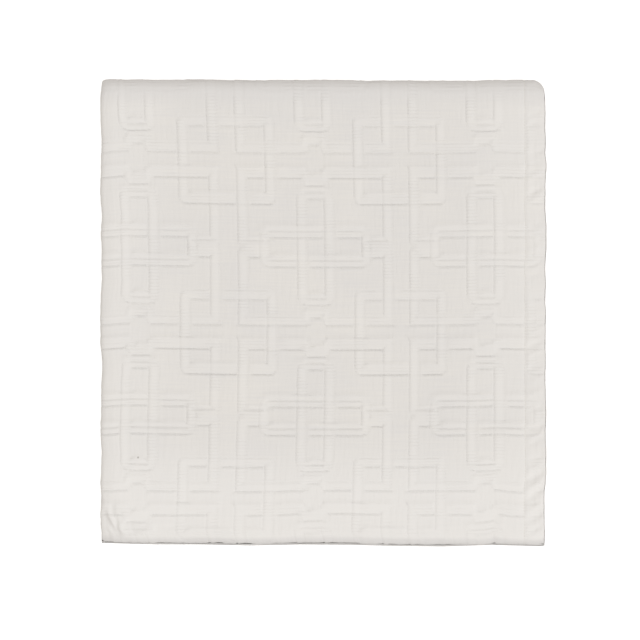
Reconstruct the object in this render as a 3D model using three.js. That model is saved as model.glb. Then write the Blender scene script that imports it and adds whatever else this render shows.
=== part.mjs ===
// A bed throw, folded for storage: one hemmed cloth panel with a raised lattice of straps.
// The panel is folded in thirds across its width, and that strip is then folded twice along
// its length, so that twelve plies lie over one another. The panel is one closed solid.
// Millimetres, +Z up. The throw rests on z = 0 and its origin is under the middle of its box.
// Its side hem is at +X, its last fold at -Y and its large roll at +Y.
import * as THREE from "three";

// Folded size
const WIDTH = 500;
const ROLL_Y = 261.5; // the large roll's outermost line
const FOLD_Y = -257.5; // the last fold's outermost line
const FREE_ENDS_Y = { bottom: -260.5, inner: -259 }; // the panel's two short ends, under the last fold

// Cloth
const CLOTH = 1.9; // one ply
const PLY_GAP = 0.5; // between the three plies of the strip
const LAYER_GAP = 0.8; // between the four layers of the strip
const INNER_PLY_INSET = 1.5; // from the side fold's axis to the middle ply's free edge
const HIDDEN_FOLD_INSET = 2; // from the side hem to the fold hidden under it

// Raised lattice: a small ring round each square's centre, a large ring between four of them,
// and in each large ring two long rings that cross. Sizes are half sizes to a strap's middle.
const STRAP = { width: 12.3, height: 0.9 };
const HALF_PERIOD = { across: 98.3, along: 98.7 }; // from a square's centre to the next crossing
const FIRST_SQUARE = { x: -106, y: 171 }; // centre of the square at the upper left
const CLOSING_UP = { across: 0.5, along: 1 }; // the weave draws in, by the square of the distance
const SMALL_RING = { across: 48.3, along: 44.3, corner: 3 };
const LARGE_RING_INSET = { across: 15.1, along: 14.4 }; // from the line between two squares' centres
const UPRIGHT_RING = { across: 14.4, along: 58.9, corner: 7 };
const LEVEL_RING = { across: 55.6, along: 16.5, corner: 7 };
const NOTCH = { depth: 9, top: 5.6, foot: 14 }; // where a large ring's side bends towards its centre
const LATTICE_FADE = 6; // over which the relief dies out at the border of the raised field

// Side hem
const HEM = { width: 23.5, seamWidth: 4, seamDepth: 0.5, relief: 0.6 };

// Unevenness of the folded throw
const TOP_FALL = 0.09; // share of the height lost from the roll to the last fold
const ROUNDED_CORNER = { radius: 10, reach: 45, steps: [10, 5] };
const SIDE_WAVES = [
  { height: 0.9, length: 330, shift: 20 },
  { height: 0.5, length: 250, shift: 5 },
];
const END_WAVES = [
  { height: 1, length: 420, shift: -60 },
  { height: 0.6, length: 260, shift: 12 },
];
const FREE_END_SPREAD = 3.2; // by which the lower layers reach further out at the right

// Mesh steps
const RUN_STEPS = { across: 4, along: 4 };
const FOLD_STEPS = { side: 6, tight: 6, roll: 10 };
const LEAST_STEP = 2.6; // lattice lines closer than this share one line
const FRAME = 4; // width of the band that joins the raised field to the plain cloth
const NEAR_LINE = 0.9; // a plain step nearer than this to an added line gives way to it

const PLY_PITCH = CLOTH + PLY_GAP;
const STRIP = 3 * CLOTH + 2 * PLY_GAP;
const LAYER_PITCH = STRIP + LAYER_GAP;
const TIGHT_RADIUS = LAYER_PITCH / 2;
const ROLL_RADIUS = 1.5 * LAYER_PITCH;

const smooth = (t) => THREE.MathUtils.smoothstep(t, 0, 1);

// A flat path of straight runs joined by half turns, turn = 1 to the left and -1 to the right.
function foldedPath(start, heading, folds) {
  const pieces = [];
  let at = start.clone();
  let angle = heading;
  let length = 0;
  const add = (piece) => {
    pieces.push({ ...piece, from: length });
    length += piece.length;
  };
  for (const { run, turn, radius, runSteps, turnSteps } of folds) {
    const forward = new THREE.Vector2(Math.cos(angle), Math.sin(angle));
    add({ length: run, steps: runSteps, at: at.clone(), angle, bend: 0 });
    at.addScaledVector(forward, run);
    if (!turn) continue;
    add({ length: Math.PI * radius, steps: turnSteps, at: at.clone(), angle, bend: turn / radius });
    at.addScaledVector(new THREE.Vector2(-forward.y, forward.x), 2 * radius * turn);
    angle += Math.PI * turn;
  }
  return { pieces, length };
}

// The point at a distance s along a path, moved aside by offset to its left.
function pointOn(path, s, offset) {
  const piece = path.pieces.findLast((p) => s >= p.from - 1e-9) ?? path.pieces[0];
  const gone = s - piece.from;
  const angle = piece.angle + piece.bend * gone;
  const left = new THREE.Vector2(-Math.sin(angle), Math.cos(angle));
  const point = piece.at.clone();
  if (piece.bend) {
    const toCentre = new THREE.Vector2(-Math.sin(piece.angle), Math.cos(piece.angle));
    point.addScaledVector(toCentre, 1 / piece.bend).addScaledVector(left, -1 / piece.bend);
  } else {
    point.x += Math.cos(angle) * gone;
    point.y += Math.sin(angle) * gone;
  }
  return point.addScaledVector(left, offset);
}

// Evenly spaced distances on each piece of a path, with its ends.
function pathSteps(path) {
  const steps = [0];
  for (const { from, length, steps: count } of path.pieces)
    for (let i = 1; i <= count; i++) steps.push(from + (length * i) / count);
  return steps;
}

// Across the width, in x and the strip's own thickness: the middle ply, the lowest and the top one.
function thirdsPath() {
  const sideRadius = PLY_PITCH;
  const left = -WIDTH / 2 + sideRadius + CLOTH / 2;
  const right = WIDTH / 2 - HIDDEN_FOLD_INSET - PLY_PITCH / 2 - CLOTH / 2;
  const start = new THREE.Vector2(left + INNER_PLY_INSET, 0);
  const runSteps = RUN_STEPS.across;
  const turnSteps = FOLD_STEPS.side;
  return foldedPath(start, 0, [
    { run: right - start.x, turn: -1, radius: PLY_PITCH / 2, runSteps, turnSteps },
    { run: right - left, turn: -1, radius: sideRadius, runSteps, turnSteps },
    { run: WIDTH / 2 - left, turn: 0, runSteps },
  ]);
}

// Along the length, in y and z: the bottom layer, the top one, the one under it and the inner one.
function layersPath() {
  const roll = ROLL_Y - ROLL_RADIUS - STRIP / 2;
  const fold = FOLD_Y + TIGHT_RADIUS + STRIP / 2;
  const start = new THREE.Vector2(FREE_ENDS_Y.bottom, STRIP / 2);
  const runSteps = RUN_STEPS.along;
  const tight = { radius: TIGHT_RADIUS, runSteps, turnSteps: FOLD_STEPS.tight };
  return foldedPath(start, 0, [
    { run: roll - start.x, turn: 1, radius: ROLL_RADIUS, runSteps, turnSteps: FOLD_STEPS.roll },
    { run: roll - fold, turn: 1, ...tight },
    { run: roll - fold, turn: -1, ...tight },
    { run: roll - FREE_ENDS_Y.inner, turn: 0, runSteps },
  ]);
}

const acrossPath = thirdsPath();
const alongPath = layersPath();

const waves = (table, s) =>
  table.reduce((sum, w) => sum + w.height * Math.sin((2 * Math.PI * (s - w.shift)) / w.length), 0);

// Bends the even, folded form into the uneven one. Its underside stays flat on z = 0.
function settle(point) {
  const { x, y, z } = point;
  const height = 2 * ROLL_RADIUS + STRIP;
  const toSide = x / (WIDTH / 2);
  const toEnd = y / ROLL_Y;
  const level = 0.6 + (0.4 * z) / height;
  const lower = 1 - smooth((z - 1.5 * LAYER_PITCH) / LAYER_PITCH);
  const pastCorner = Math.max(0, x - (WIDTH / 2 - ROUNDED_CORNER.radius));
  const drop = ROUNDED_CORNER.radius - Math.sqrt(Math.max(0, ROUNDED_CORNER.radius ** 2 - pastCorner ** 2));
  const nearCorner = smooth((y - (ROLL_Y - ROUNDED_CORNER.reach)) / ROUNDED_CORNER.reach);
  const spread = lower * smooth((toSide + 0.4) / 0.8) * smooth(-toEnd * 2 - 1) * FREE_END_SPREAD;
  return new THREE.Vector3(
    x + level * toSide ** 3 * waves(SIDE_WAVES, y),
    y + level * toEnd ** 3 * waves(END_WAVES, x) - drop * nearCorner - spread,
    z * (1 - TOP_FALL * smooth((1 - toEnd) / 2)),
  );
}

// A point of the folded panel: u across and v along the flat cloth, offset from its middle
// surface towards its face.
function clothPoint(u, v, offset) {
  const inStrip = pointOn(acrossPath, u, offset);
  const inStack = pointOn(alongPath, v, -inStrip.y);
  return settle(new THREE.Vector3(inStrip.x, inStack.x, inStack.y));
}

// Distance to the middle of a ring's strap, from the offsets to the ring's centre.
function toRing(a, b, { across, along, corner }) {
  const x = Math.abs(a) - across + corner;
  const y = Math.abs(b) - along + corner;
  return Math.abs(Math.hypot(Math.max(x, 0), Math.max(y, 0)) + Math.min(Math.max(x, y), 0) - corner);
}

// How far a large ring's side bends inwards, at a distance s along it from its middle.
function notch(s) {
  const share = (NOTCH.foot - Math.abs(s)) / (NOTCH.foot - NOTCH.top);
  return NOTCH.depth * THREE.MathUtils.clamp(share, 0, 1);
}

// Offset to the nearest line of a row of lines one period apart.
const toNearest = (s, period) => s - period * Math.round(s / period);

// Height of the lattice at a distance across and along from the first square's centre.
function latticeHeight(across, along) {
  const period = { across: 2 * HALF_PERIOD.across, along: 2 * HALF_PERIOD.along };
  const square = { a: toNearest(across, period.across), b: toNearest(along, period.along) };
  const crossing = {
    a: toNearest(across - HALF_PERIOD.across, period.across),
    b: toNearest(along - HALF_PERIOD.along, period.along),
  };
  const largeRing = {
    across: HALF_PERIOD.across - LARGE_RING_INSET.across - notch(crossing.b),
    along: HALF_PERIOD.along - LARGE_RING_INSET.along - notch(crossing.a),
    corner: SMALL_RING.corner,
  };
  const distance = Math.min(
    toRing(square.a, square.b, SMALL_RING),
    toRing(crossing.a, crossing.b, largeRing),
    toRing(crossing.a, crossing.b, UPRIGHT_RING),
    toRing(crossing.a, crossing.b, LEVEL_RING),
  );
  return STRAP.height * Math.max(0, 1 - (2 * distance) / STRAP.width);
}

// Lines along the middle and the edges of every strap that runs one way, from first to last.
function latticeLines(way, first, last) {
  const half = HALF_PERIOD[way];
  const middles = [
    SMALL_RING[way],
    LARGE_RING_INSET[way],
    half - UPRIGHT_RING[way],
    half - LEVEL_RING[way],
  ];
  const lines = [first, first + LATTICE_FADE, last - LATTICE_FADE, last];
  for (const fromMiddle of [0, -STRAP.width / 2, STRAP.width / 2])
    for (let centre = -2 * half; centre < last + half; centre += 2 * half)
      for (const middle of middles)
        for (const side of [-1, 1]) {
          const line = centre + side * (middle + fromMiddle);
          const isInside = line > first && line < last;
          if (isInside && lines.every((other) => Math.abs(line - other) > LEAST_STEP)) lines.push(line);
        }
  return lines.sort((a, b) => a - b);
}

// Flat lengths at which the face's raised field starts and ends, on the top ply of the top layer.
const topPly = acrossPath.pieces.at(-1);
const topLayer = alongPath.pieces[2];
const field = {
  u: { from: topPly.from + FRAME, to: topPly.from + topPly.length - 2 },
  v: { from: topLayer.from + FRAME, to: topLayer.from + topLayer.length - FRAME },
};

// From a distance in the lattice to the flat cloth, where the weave draws in, and back.
const spacing = {
  across: {
    first: topPly.from + FIRST_SQUARE.x - topPly.at.x,
    half: HALF_PERIOD.across,
    closing: CLOSING_UP.across,
  },
  along: {
    first: topLayer.from + topLayer.at.x - FIRST_SQUARE.y,
    half: HALF_PERIOD.along,
    closing: CLOSING_UP.along,
  },
};
const toCloth = ({ first, half, closing }, s) => first + s - closing * (s / half) ** 2;
const toLattice = ({ first, half, closing }, flat) =>
  (half * (half - Math.sqrt(half ** 2 - 4 * closing * (flat - first)))) / (2 * closing);

// Height of the face over plain cloth: the lattice, lower on the hem, and the hem's sewn-down line.
function faceHeight(u, v) {
  const borders = [u - field.u.from, field.u.to - u, v - field.v.from, field.v.to - v];
  const fade = smooth(Math.min(...borders) / LATTICE_FADE);
  const toEdge = topPly.from + topPly.length - u;
  const onHem = toEdge < HEM.width ? HEM.relief : 1;
  const seam = HEM.seamDepth * Math.max(0, 1 - (2 * Math.abs(toEdge - HEM.width)) / HEM.seamWidth);
  const raised = latticeHeight(toLattice(spacing.across, u), toLattice(spacing.along, v));
  return fade * (onHem * raised - seam);
}

const corners = [];
const triangles = [];

function addVertex(u, v, offset) {
  corners.push(...clothPoint(u, v, offset).toArray());
  return corners.length / 3 - 1;
}

const addGrid = (us, vs, offsetAt) => us.map((u) => vs.map((v) => addVertex(u, v, offsetAt(u, v))));

// Two triangles for each cell of a grid that isn't left open, facing the cloth's face or back.
function fillGrid(grid, facing, isOpen = () => false) {
  for (let i = 0; i + 1 < grid.length; i++)
    for (let j = 0; j + 1 < grid[i].length; j++) {
      if (isOpen(i, j)) continue;
      const [a, b, c, d] = [grid[i][j], grid[i][j + 1], grid[i + 1][j + 1], grid[i + 1][j]];
      if (facing > 0) triangles.push(a, b, c, a, c, d);
      else triangles.push(a, c, b, a, d, c);
    }
}

// Triangles between an outer chain of vertices and an inner one to its left with other spacing.
// Each chain is a list of { id, s }, with s the distance along it.
function zip(outer, inner) {
  let i = 0;
  let j = 0;
  while (i + 1 < outer.length || j + 1 < inner.length) {
    const outerNext = j + 1 === inner.length || (i + 1 < outer.length && outer[i + 1].s < inner[j + 1].s);
    const [here, there] = [outer[i].id, inner[j].id];
    if (outerNext) triangles.push(here, outer[++i].id, there);
    else triangles.push(here, inner[++j].id, there);
  }
}

// The whole numbers from one to another, up or down.
function countTo(from, to) {
  const way = Math.sign(to - from);
  return Array.from({ length: Math.abs(to - from) + 1 }, (_, k) => from + k * way);
}

// The four sides of a grid's block, each a chain, in turn to the left as seen from the face.
function blockSides(grid, us, vs, [i0, i1], [j0, j1]) {
  const alongU = (j, from, to) =>
    countTo(from, to).map((i) => ({ id: grid[i][j], s: Math.abs(us[i] - us[from]) }));
  const alongV = (i, from, to) =>
    countTo(from, to).map((j) => ({ id: grid[i][j], s: Math.abs(vs[j] - vs[from]) }));
  return [alongU(j1, i0, i1), alongV(i1, j1, j0), alongU(j0, i1, i0), alongV(i0, j0, j1)];
}

// The narrow strip of hem edge between the face and the back, round the whole panel.
function closeRim(face, back) {
  const [lastU, lastV] = [face.length - 1, face[0].length - 1];
  const ring = [];
  for (let j = 0; j < lastV; j++) ring.push([0, j]);
  for (let i = 0; i < lastU; i++) ring.push([i, lastV]);
  for (let j = lastV; j > 0; j--) ring.push([lastU, j]);
  for (let i = lastU; i > 0; i--) ring.push([i, 0]);
  ring.forEach(([i, j], k) => {
    const [m, n] = ring[(k + 1) % ring.length];
    triangles.push(face[i][j], back[i][j], back[m][n], face[i][j], back[m][n], face[m][n]);
  });
}

// Steps along a path with some lines added, each in place of the steps that are very near it.
function withLines(steps, lines) {
  const kept = steps.filter((s) => lines.every((line) => Math.abs(s - line) > NEAR_LINE));
  return [...kept, ...lines].sort((a, b) => a - b);
}

// The strap lines of the raised field that run one way, as distances on the flat cloth.
function fieldLines(way, { from, to }) {
  const [first, last] = [from, to].map((flat) => toLattice(spacing[way], flat));
  return latticeLines(way, first, last).map((s) => toCloth(spacing[way], s));
}

// The folded panel: a plain face and back, with the raised field set into the face.
function throwGeometry() {
  const opening = {
    u: [field.u.from - FRAME / 2, field.u.to + 1],
    v: [field.v.from - FRAME / 2, field.v.to + FRAME / 2],
  };
  const cornerLines = ROUNDED_CORNER.steps.map((inward) => acrossPath.length - inward);
  const us = withLines(pathSteps(acrossPath), [...opening.u, ...cornerLines]);
  const vs = withLines(pathSteps(alongPath), opening.v);
  const [i0, i1] = opening.u.map((u) => us.indexOf(u));
  const [j0, j1] = opening.v.map((v) => vs.indexOf(v));
  const face = addGrid(us, vs, () => CLOTH / 2);
  const back = addGrid(us, vs, () => -CLOTH / 2);
  fillGrid(face, 1, (i, j) => i >= i0 && i < i1 && j >= j0 && j < j1);
  fillGrid(back, -1);
  closeRim(face, back);

  const fieldU = fieldLines("across", field.u);
  const fieldV = fieldLines("along", field.v);
  const raised = addGrid(fieldU, fieldV, (u, v) => CLOTH / 2 + faceHeight(u, v));
  fillGrid(raised, 1);
  const outerSides = blockSides(face, us, vs, [i0, i1], [j0, j1]);
  const innerSides = blockSides(raised, fieldU, fieldV, [0, fieldU.length - 1], [0, fieldV.length - 1]);
  outerSides.forEach((side, k) => zip(side, innerSides[k]));
  return toGeometry();
}

// The collected triangles as a geometry that stands on z = 0 over the origin.
function toGeometry() {
  const used = [...new Set(triangles)].sort((a, b) => a - b);
  const newIndex = new Map(used.map((old, k) => [old, k]));
  const points = used.flatMap((old) => corners.slice(3 * old, 3 * old + 3));
  const geometry = new THREE.BufferGeometry();
  geometry.setAttribute("position", new THREE.Float32BufferAttribute(points, 3));
  geometry.setIndex(triangles.map((old) => newIndex.get(old)));
  geometry.computeBoundingBox();
  const { min, max } = geometry.boundingBox;
  geometry.translate(-(min.x + max.x) / 2, -(min.y + max.y) / 2, -min.z);
  geometry.computeVertexNormals();
  return geometry;
}

const cloth = new THREE.MeshStandardMaterial({ color: "#e1deda", roughness: 0.95, metalness: 0 });
const panel = new THREE.Mesh(throwGeometry(), cloth);
panel.name = "folded_throw";

const bedThrow = new THREE.Group();
bedThrow.name = "bed_throw";
bedThrow.add(panel);

export default bedThrow;
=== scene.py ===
# %% [markdown]
# # A folded bed throw
# The real object is one panel of woven cotton, about 1.5 by 2.07 m, with its edges hemmed.
# It is folded in thirds across its width, and the strip that this makes is folded twice
# along its length. What shows from above is one ply with a raised lattice of straps.
# The whole throw is a single sheet, so it is built as a single closed mesh that follows
# the folds. Every point of it is found from its place on the flat cloth.

# %% Load the fixed frame
import math

import bpy
import numpy as np
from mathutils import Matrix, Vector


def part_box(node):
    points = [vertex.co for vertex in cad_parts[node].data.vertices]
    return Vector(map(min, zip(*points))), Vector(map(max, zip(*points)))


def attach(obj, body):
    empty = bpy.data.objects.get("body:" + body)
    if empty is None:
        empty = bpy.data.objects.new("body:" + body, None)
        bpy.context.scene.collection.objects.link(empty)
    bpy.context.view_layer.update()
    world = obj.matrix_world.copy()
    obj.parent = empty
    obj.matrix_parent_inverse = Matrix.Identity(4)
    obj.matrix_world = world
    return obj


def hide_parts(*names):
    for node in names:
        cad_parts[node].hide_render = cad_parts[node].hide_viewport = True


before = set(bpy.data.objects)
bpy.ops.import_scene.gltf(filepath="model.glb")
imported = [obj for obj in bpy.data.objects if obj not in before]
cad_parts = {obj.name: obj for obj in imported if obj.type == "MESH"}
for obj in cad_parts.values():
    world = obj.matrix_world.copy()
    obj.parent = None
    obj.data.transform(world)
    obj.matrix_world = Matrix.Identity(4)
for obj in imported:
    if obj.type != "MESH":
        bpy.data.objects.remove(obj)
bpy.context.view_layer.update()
throw_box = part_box("folded_throw")
MM = 0.001
print("solid, mm:", [[round(v / MM, 1) for v in corner] for corner in throw_box])

# %% [markdown]
# ## The folds
# A fold is easiest to draw as a path in a flat section: straight runs joined by half turns.
# One path goes across the width and gives the three plies. A second one goes along the
# length and carries the strip of three plies with it, like a thick belt. Sizes are in
# millimetres and are those of the solid model.

# %% Sizes of the folded cloth
WIDTH = 500
ROLL_Y = 261.5
FOLD_Y = -257.5
FREE_ENDS_Y = {"bottom": -260.5, "inner": -259}
CLOTH = 1.9
PLY_GAP = 0.5
LAYER_GAP = 0.8
INNER_PLY_INSET = 1.5
HIDDEN_FOLD_INSET = 2

PLY_PITCH = CLOTH + PLY_GAP
STRIP = 3 * CLOTH + 2 * PLY_GAP
LAYER_PITCH = STRIP + LAYER_GAP
TIGHT_RADIUS = LAYER_PITCH / 2
ROLL_RADIUS = 1.5 * LAYER_PITCH
HEIGHT = 2 * ROLL_RADIUS + STRIP


# %% A path of runs and half turns
def folded_path(start, folds):
    """Pieces of the path, one row each: first distance, length, x, y, angle and bend."""
    at = np.array(start, float)
    angle = gone = 0.0
    pieces = []
    for run, turn, radius in folds:
        ahead = np.array((math.cos(angle), math.sin(angle)))
        pieces.append((gone, run, *at, angle, 0.0))
        gone += run
        at = at + ahead * run
        if turn:
            pieces.append((gone, math.pi * radius, *at, angle, turn / radius))
            gone += math.pi * radius
            at = at + np.array((-ahead[1], ahead[0])) * 2 * radius * turn
            angle += math.pi * turn
    return np.array(pieces)


def on_path(pieces, s, offset):
    """Points at the distances s along a path, moved to its left by offset."""
    which = np.clip(np.searchsorted(pieces[:, 0], s, side="right") - 1, 0, None)
    first, _, x, y, start_angle, bend = pieces[which].T
    gone = s - first
    angle = start_angle + bend * gone
    turns = bend != 0
    safe_bend = np.where(turns, bend, 1.0)
    x_turned = x + (np.sin(angle) - np.sin(start_angle)) / safe_bend
    y_turned = y + (np.cos(start_angle) - np.cos(angle)) / safe_bend
    x_ahead = x + np.cos(start_angle) * gone
    y_ahead = y + np.sin(start_angle) * gone
    x_on = np.where(turns, x_turned, x_ahead) - np.sin(angle) * offset
    y_on = np.where(turns, y_turned, y_ahead) + np.cos(angle) * offset
    return x_on, y_on


# %% The two paths
left_fold = -WIDTH / 2 + PLY_PITCH + CLOTH / 2
right_fold = WIDTH / 2 - HIDDEN_FOLD_INSET - PLY_PITCH / 2 - CLOTH / 2
middle_ply = left_fold + INNER_PLY_INSET
across = folded_path((middle_ply, 0), [
    (right_fold - middle_ply, -1, PLY_PITCH / 2),
    (right_fold - left_fold, -1, PLY_PITCH),
    (WIDTH / 2 - left_fold, 0, 0),
])

roll_line = ROLL_Y - ROLL_RADIUS - STRIP / 2
fold_line = FOLD_Y + TIGHT_RADIUS + STRIP / 2
along = folded_path((FREE_ENDS_Y["bottom"], STRIP / 2), [
    (roll_line - FREE_ENDS_Y["bottom"], 1, ROLL_RADIUS),
    (roll_line - fold_line, 1, TIGHT_RADIUS),
    (roll_line - fold_line, -1, TIGHT_RADIUS),
    (roll_line - FREE_ENDS_Y["inner"], 0, 0),
])
FLAT_WIDTH = across[-1, 0] + across[-1, 1]
FLAT_LENGTH = along[-1, 0] + along[-1, 1]
print(f"flat cloth {FLAT_WIDTH:.0f} by {FLAT_LENGTH:.0f} mm")

# %% [markdown]
# ## How the throw lies
# Cloth that is folded by hand is never square. The top falls towards the last fold, the
# shoulders by the roll and the left fold are soft, the lower layers reach out further at
# the right, and every edge wanders by a millimetre or so. Each of these is one gentle
# change to a point's place. All of them leave the underside flat on the floor.

# %% Unevenness of the whole throw
TOP_FALL = 0.03
FRONT_FALL = {"from": -150, "reach": 108, "share": 0.22, "power": 1.6}
ROLL_SHOULDER = {"reach": 36, "drop": 2.3}
LEFT_SHOULDER = {"reach": 16, "drop": 2.9}
FRONT_SHOULDER = {"reach": 15, "drop": 3.6}
# In the lower left corner both shoulders are larger by up to this share
SLACK_CORNER = {"share": 0.6, "x": (-120, -130), "y": (-120, -140)}
SUNK_CORNER = {"at": (-253, -265), "reach": 46, "drop": 6.5, "power": 1.3}
RIGHT_SAG = {"reach": 30, "drop": 0.7}
ROUNDED_CORNER = {"radius": 15, "reach": 45}
# The free ends reach further out towards the right, from this share of half the width on
FREE_END_SPREAD = {"side": (-0.4, 0.8), "out": 0.8}
# Towards the last fold the top layers come to rest on the free ends beneath them
FRONT_REST = {"y": (-190, -50), "drop": 0.5}

# How far each edge stands out: place along the edge, and shift outwards
LEFT_EDGE = [
    (-262, 0.3), (-249, 0.4), (-238, 1.3), (-225, 1.1), (-210, -0.2), (-193, 0.8), (-176, 0.2),
    (-159, -0.8), (-147, 0.3), (-126, 0.5), (-103, -0.3), (-82, -0.1), (-70, -1.3), (-50, -1.1),
    (-37, 0.8), (5, 0.9), (20, 0.1), (37, -0.8), (54, -0.4), (72, -0.8), (88, 0.4), (99, -0.4),
    (110, -1.2), (121, 0.2), (132, 1.2), (150, 0.4), (166, 0.2), (188, -0.6), (205, -0.1),
    (222, 1), (245, 0.6), (256, -0.4),
]
RIGHT_EDGE = [
    (-262, -0.6), (-249, -0.5), (-227, -1), (-212, -1.4), (-203, -1.3), (-192, -0.1), (-178, 0.6),
    (-160, 0.7), (-148, 0.1), (-130, 0), (-108, 0.7), (-92, -0.2), (-70, -0.4), (-50, 0.1),
    (-34, -0.4), (-2, 0.3), (9, -0.7), (31, 0.2), (43, -0.6), (58, -0.3), (76, 1), (99, 0.5),
    (121, -0.8), (134, -0.4), (155, 0.1), (166, 1), (177, -0.5), (194, 0), (211, -0.6),
    (233, -0.3), (245, -0.8), (262, -1),
]
BACK_EDGE = [
    (-250, -0.6), (-240, 0.6), (-234, 0.8), (-213, 0), (-202, 0.6), (-191, -0.2), (-150, 0),
    (-135, 0.5), (-122, -0.1), (-85, -0.6), (-45, -0.4), (-23, -0.8), (-11, -0.2), (22, -0.6),
    (45, -1.2), (67, -1), (90, -1), (123, -1.7), (157, -1.6), (179, -0.9), (192, -0.4),
    (236, -0.2), (250, -0.2),
]
FRONT_EDGE = [
    (-250, 1.8), (-236, 2.3), (-213, 3.2), (-180, 3.3), (-146, 3), (-135, 2.6), (-112, 3.3),
    (-80, 4.1), (-56, 4.1), (-34, 2.9), (22, 3.1), (56, 4.5), (100, 5.4), (146, 5.2), (180, 6.1),
    (192, 3.7), (213, 5.3), (236, 5.9), (250, 4.6),
]
# Where the lower layers peep out in front: place, reach to each side and shift outwards
PEEPING = [
    (-78, 16, 1.7), (40, 11, 1.1), (104, 12, 1.4), (168, 16, 1.7), (226, 14, 0.8), (-190, 26, 0.5),
]

# Height, length and shift of each wave. The lower layers waver more than the top one.
LOWER_WAVES = [(0.7, 131, 20), (0.4, 57, 11), (0.25, 23, 3)]
EDGE_WAVES = [(0.16, 31, 4), (0.1, 13, 2)]
# Opposite edges have their waves shifted apart. The lowest layer follows a table less.
EDGE_APART, LOWER_APART = 40, 60
LOWEST_SHARE = 0.6
TOP_WAVES = [(0.35, 171, 20), (0.22, 97, 61), (0.12, 58, 13)]
# The top's waves run askew, by these slopes
TOP_SLOPES = (0.4, 0.3)
TOP_SCALE = 2


# %% Helpers that move a point
def smooth(t):
    t = np.clip(t, 0, 1)
    return t * t * (3 - 2 * t)


def ramp(stretch, s):
    """From 0 to 1 over a stretch, given as where it starts and how far it reaches."""
    start, reach = stretch
    return smooth((s - start) / reach)


def waves(table, s):
    return sum(height * np.sin(2 * np.pi * (s - shift) / length) for height, length, shift in table)


def read(table, s):
    """A table's value at the place s."""
    return np.interp(s, *np.transpose(table))


def edge_shift(first_edge, last_edge, side, along_edge, raised):
    """Shift outwards from the middle: by the first table below it, by the last above it."""
    own = np.where(side < 0, read(first_edge, along_edge), read(last_edge, along_edge))
    own = own + waves(EDGE_WAVES, along_edge + EDGE_APART * side)
    lower = (1 - raised) ** 2 * waves(LOWER_WAVES, along_edge + LOWER_APART * side)
    follows = LOWEST_SHARE + (1 - LOWEST_SHARE) * raised
    return np.abs(side) ** 3 * np.sign(side) * (own * follows + lower)


def shoulder(past, shape, slack=1):
    """How far a soft shoulder sinks, so far past its edge."""
    return slack * shape["drop"] * np.clip(past / shape["reach"] / slack + 1, 0, 1) ** 2


def sunk(x, y):
    """How far the top has sunk at its edges and in its waves."""
    slack = SLACK_CORNER["share"] * ramp(SLACK_CORNER["x"], x)
    slack = 1 + slack * ramp(SLACK_CORNER["y"], y)
    from_corner = np.hypot(x - SUNK_CORNER["at"][0], y - SUNK_CORNER["at"][1])
    near_corner = np.clip(1 - from_corner / SUNK_CORNER["reach"], 0, 1)
    sink = shoulder(y - ROLL_Y, ROLL_SHOULDER)
    sink += SUNK_CORNER["drop"] * near_corner ** SUNK_CORNER["power"]
    sink += shoulder(-x - WIDTH / 2, LEFT_SHOULDER, slack)
    sink += shoulder(FOLD_Y - y, FRONT_SHOULDER, slack)
    sink += shoulder(x - WIDTH / 2, RIGHT_SAG)
    wave = waves(TOP_WAVES, x + TOP_SLOPES[0] * y) * waves(TOP_WAVES, y - TOP_SLOPES[1] * x)
    return sink + wave * TOP_SCALE


def drawn_in(x, y):
    """How far the roll is drawn in at its rounded corner."""
    radius, reach = ROUNDED_CORNER["radius"], ROUNDED_CORNER["reach"]
    past = np.clip(x - (WIDTH / 2 - radius), 0, radius)
    return (radius - np.sqrt(radius**2 - past**2)) * ramp((ROLL_Y - reach, reach), y)


def spread(x, y, z):
    """How far the free ends of the lower layers reach out in front."""
    lower = 1 - ramp((1.5 * LAYER_PITCH, LAYER_PITCH), z)
    to_right = ramp(FREE_END_SPREAD["side"], x / (WIDTH / 2))
    peep = sum(out * np.exp(-(((x - at) / reach) ** 2)) for at, reach, out in PEEPING)
    return lower * smooth(-y / ROLL_Y * 2 - 1) * (to_right * FREE_END_SPREAD["out"] + peep)


# %% From the evenly folded throw to the real one
def settle(x, y, z):
    """The uneven place of a point of the evenly folded throw."""
    to_side = x / (WIDTH / 2)
    to_end = y / ROLL_Y
    raised = z / HEIGHT
    to_front = np.clip((FRONT_FALL["from"] - y) / FRONT_FALL["reach"], 0, 1)
    fall = TOP_FALL * smooth((1 - to_end) / 2)
    fall += FRONT_FALL["share"] * to_front ** FRONT_FALL["power"]
    upper = smooth((z - 2 * LAYER_PITCH + LAYER_GAP) / LAYER_GAP)
    rest = FRONT_REST["drop"] * upper * ramp(FRONT_REST["y"], y)
    out_y = edge_shift(FRONT_EDGE, BACK_EDGE, to_end, x, raised)
    return (
        x + edge_shift(LEFT_EDGE, RIGHT_EDGE, to_side, y, raised),
        y + out_y - drawn_in(x, y) - spread(x, y, z),
        (z - rest) * (1 - fall) - sunk(x, y) * raised,
    )


# %% [markdown]
# ## The raised lattice
# The weave shows straps, 12 mm wide, that pass over and under one another. They are closed
# rings: a small one round each square's centre, a large one between four squares, and two
# long ones that cross in the middle of each large ring. A ring is a rounded rectangle, so
# the signed distance to its line is a short formula, and the height of the cloth follows
# from that distance.

# %% Sizes of the rings, half sizes to the middle of the strap
STRAP = 12.3
HALF_ACROSS = 98.3
HALF_ALONG = 98.7
FIRST_SQUARE = {"x": -106, "y": 171}
# Half a square further on, the lattice is drawn in by this much
CLOSING_ACROSS = 0.5
CLOSING_ALONG = 1.0
SMALL_RING = (48.1, 44.0, 3)
LARGE_RING = (HALF_ACROSS - 15.4, HALF_ALONG - 14.4)
LARGE_RING_SHIFT = 0.5
UPRIGHT_RING = (15.6, 61, 7)
LEVEL_RING = (58.5, 16.8, 7)
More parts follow.
